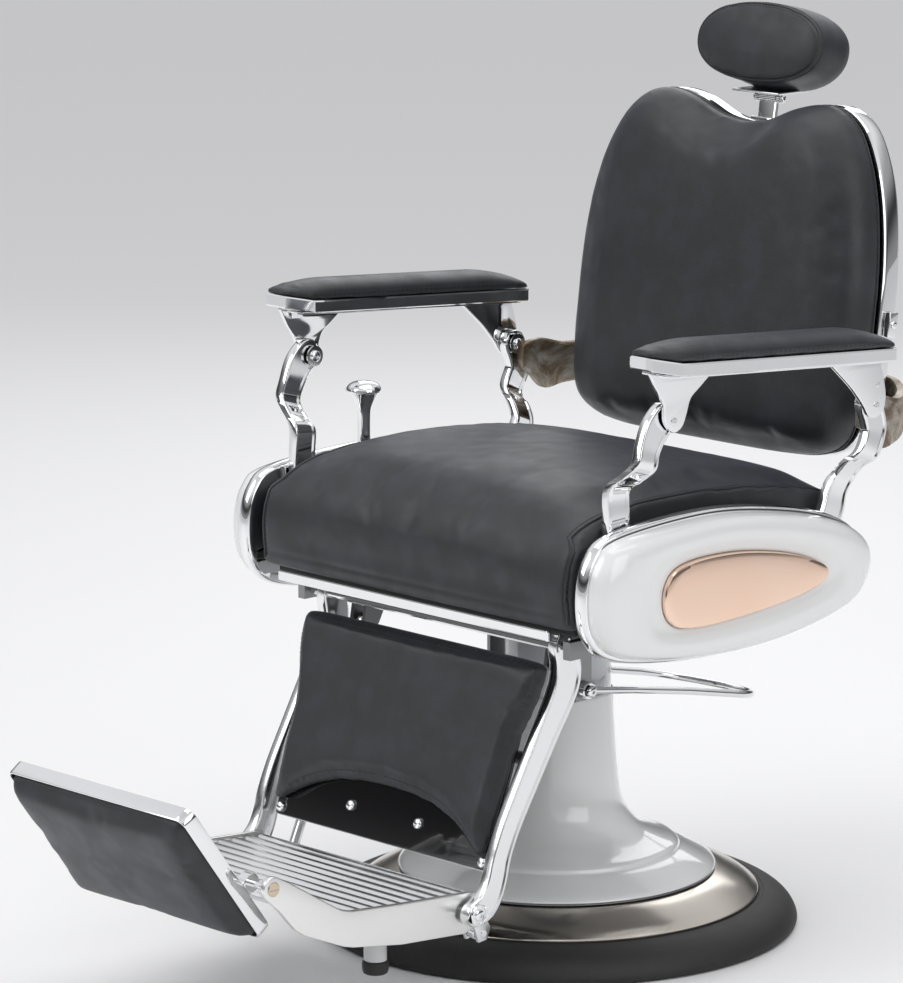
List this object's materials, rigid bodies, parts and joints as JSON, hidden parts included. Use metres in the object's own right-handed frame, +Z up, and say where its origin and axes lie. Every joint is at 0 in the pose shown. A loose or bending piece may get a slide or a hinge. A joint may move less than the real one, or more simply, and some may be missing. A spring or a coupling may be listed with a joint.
{
  "type": "hydraulic barber chair",
  "caption": "Reclining hydraulic barber chair on a round pedestal, with padded seat, heart-topped back, headrest, swinging armrests, and a legrest with level footplate and flip-over flap.",
  "frame": {"origin": "centre of the round base's underside, on the floor", "axes": "+Z up the column, -Y the way the sitter faces, +X the sitter's left"},
  "size_m": [0.704, 1.198, 1.1353],
  "materials": {
    "cast_iron": "rough casting, painted black",
    "rubber": "matt black moulded rubber",
    "stainless": "polished, warm grey",
    "white_enamel": "glossy white enamel",
    "steel": "dull machined steel",
    "bearing_bronze": "machined",
    "copper": "polished copper colour",
    "plywood": "plain plywood",
    "black_gloss": "mirror gloss black",
    "black_leather": "fine-grained, semi-gloss black",
    "cast_aluminium": "gritty sand-cast grey",
    "polished_aluminium": "satin to bright polish",
    "chrome": "mirror chrome plate"
  },
  "bodies": {
    "base": {"base_plate": "cast_iron", "base_rubber_ring": "rubber", "base_cover": "stainless", "column_skirt": "white_enamel", "hydraulic_cylinder": "steel", "cylinder_seal": "rubber"},
    "lift": {"lift_ram": "chrome", "swivel_bearing": "bearing_bronze"},
    "pump": {"pump_handle": "chrome"},
    "seat": {"lift_head": "steel", "telescopic_sleeve": "white_enamel", "head_nut": "steel", "seat_frame": "steel", "side_frame_left": "steel", "side_frame_right": "steel", "side_panel_left": "white_enamel", "side_panel_right": "white_enamel", "side_trim_left": "chrome", "side_trim_right": "chrome", "panel_insert_left": "copper", "panel_insert_right": "copper", "seat_pan": "plywood", "seat_cushion": "black_leather", "seat_front_lip": "chrome", "legrest_shaft": "chrome"},
    "recline_lever": {"recline_lever": "chrome", "recline_knob": "chrome"},
    "back": {"back_cushion": "black_leather", "back_band": "chrome", "back_panel": "black_leather", "headrest_guide": "steel", "rear_post_left": "chrome", "rear_post_right": "chrome", "back_bracket_left": "cast_aluminium", "back_bracket_right": "cast_aluminium"},
    "front_post_left": {"front_post_left": "chrome"},
    "front_post_right": {"front_post_right": "chrome"},
    "armrest_left": {"armrest_tray_left": "chrome", "armrest_pad_left": "black_leather", "armrest_bracket_left": "chrome"},
    "armrest_right": {"armrest_tray_right": "chrome", "armrest_pad_right": "black_leather", "armrest_bracket_right": "chrome"},
    "headrest_post": {"headrest_post": "chrome"},
    "headrest": {"headrest_bracket": "chrome", "headrest_cushion": "black_leather"},
    "legrest": {"legrest_rail_left": "polished_aluminium", "legrest_rail_right": "polished_aluminium", "legrest_cross_tube": "steel", "legrest_pad": "black_leather", "kick_plate": "black_gloss", "kick_plate_bolts": "chrome", "foot_shaft": "chrome"},
    "foot_links": {"foot_link_left": "chrome", "foot_link_right": "chrome"},
    "footplate": {"footplate": "polished_aluminium", "foot_bumper_left": "rubber", "foot_bumper_right": "rubber"},
    "flap": {"flap_tray": "chrome", "flap_pad": "black_leather"}
  },
  "joints": [
    {"name": "chair_lift", "type": "slide", "parent": "base", "child": "lift", "axis": [0, 0, 1], "range_m": [0, 0.17]},
    {"name": "pump_stroke", "type": "hinge", "parent": "seat", "child": "pump", "pos_m": [0, -0.033, 0.315], "axis": [1, 0, 0], "range_deg": [0, 20]},
    {"name": "seat_swivel", "type": "hinge", "parent": "lift", "child": "seat", "pos_m": [0, 0, 0.38], "axis": [0, 0, 1], "continuous": true},
    {"name": "lever_pull", "type": "hinge", "parent": "seat", "child": "recline_lever", "pos_m": [-0.276, -0.074, 0.552], "axis": [-1, 0, 0], "range_deg": [0, 12], "stiffness_Nm_per_rad": 0.5, "springref_deg": -22.92},
    {"name": "recline", "type": "hinge", "parent": "seat", "child": "back", "pos_m": [0, 0.18, 0.506], "axis": [-1, 0, 0], "range_deg": [0, 45]},
    {"name": "front_post_left_swing", "type": "hinge", "parent": "seat", "child": "front_post_left", "pos_m": [0, -0.181, 0.533], "axis": [-1, 0, 0], "range_deg": [0, 45]},
    {"name": "front_post_right_swing", "type": "hinge", "parent": "seat", "child": "front_post_right", "pos_m": [0, -0.181, 0.533], "axis": [-1, 0, 0], "range_deg": [0, 45]},
    {"name": "armrest_left_level", "type": "hinge", "parent": "back", "child": "armrest_left", "pos_m": [0, 0.226, 0.673], "axis": [-1, 0, 0], "range_deg": [-45, 0]},
    {"name": "armrest_right_level", "type": "hinge", "parent": "back", "child": "armrest_right", "pos_m": [0, 0.226, 0.673], "axis": [-1, 0, 0], "range_deg": [-45, 0]},
    {"name": "headrest_height", "type": "slide", "parent": "back", "child": "headrest_post", "axis": [0, 0.1392, 0.9903], "range_m": [0, 0.09]},
    {"name": "headrest_tilt", "type": "hinge", "parent": "headrest_post", "child": "headrest", "pos_m": [0, 0.38138, 1.01223], "axis": [-1, 0, 0], "range_deg": [-6, 25]},
    {"name": "legrest_swing", "type": "hinge", "parent": "seat", "child": "legrest", "pos_m": [0, -0.207, 0.421], "axis": [-1, 0, 0], "range_deg": [0, 49.5]},
    {"name": "foot_link_swing", "type": "hinge", "parent": "seat", "child": "foot_links", "pos_m": [0, -0.171, 0.385], "axis": [-1, 0, 0], "range_deg": [0, 49.5]},
    {"name": "footplate_level", "type": "hinge", "parent": "legrest", "child": "footplate", "pos_m": [0, -0.346, 0.116], "axis": [-1, 0, 0], "range_deg": [-49.5, 0]},
    {"name": "flap_fold", "type": "hinge", "parent": "footplate", "child": "flap", "pos_m": [0, -0.655, 0.205], "axis": [-1, 0, 0], "range_deg": [0, 135]}
  ],
  "couplings": [
    {"joint": "front_post_left_swing", "follows": "recline", "ratio": 1},
    {"joint": "front_post_right_swing", "follows": "recline", "ratio": 1},
    {"joint": "armrest_left_level", "follows": "recline", "ratio": -1},
    {"joint": "armrest_right_level", "follows": "recline", "ratio": -1},
    {"joint": "legrest_swing", "follows": "recline", "ratio": 1.1},
    {"joint": "foot_link_swing", "follows": "recline", "ratio": 1.1},
    {"joint": "footplate_level", "follows": "recline", "ratio": -1.1}
  ]
}
